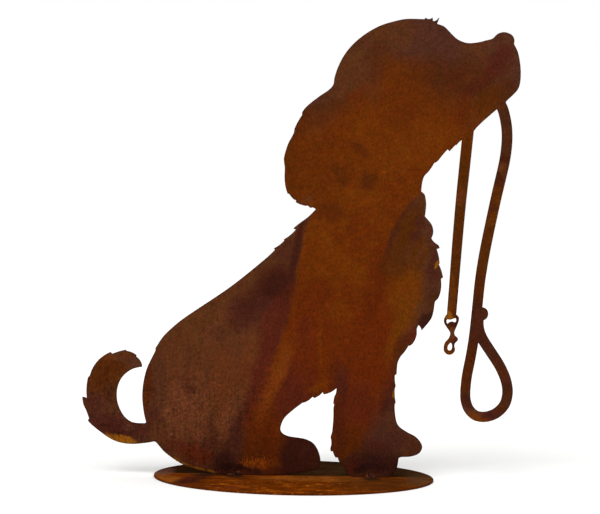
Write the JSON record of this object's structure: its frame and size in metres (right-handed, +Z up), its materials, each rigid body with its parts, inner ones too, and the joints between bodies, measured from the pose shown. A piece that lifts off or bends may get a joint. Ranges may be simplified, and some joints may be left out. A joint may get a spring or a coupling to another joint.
{
  "type": "rusted steel dog silhouette sculpture",
  "caption": "Flat seated-puppy outline with a leash in its mouth, cut from rusted steel sheet and standing upright on a thin round plate.",
  "frame": {"origin": "centre of the round plate's underside", "axes": "+Z up, +X the way the puppy faces, the sheet stands in the XZ plane and the tack welds are on its -Y side"},
  "size_m": [0.4592, 0.296, 0.4913],
  "materials": {
    "rusted_sheet": "satin",
    "rusted_plate": "satin",
    "weld_metal": "satin"
  },
  "bodies": {
    "root": {"dog_silhouette": "rusted_sheet", "base_plate": "rusted_plate", "weld_bead_rear": "weld_metal", "weld_bead_front": "weld_metal"}
  },
  "joints": []
}
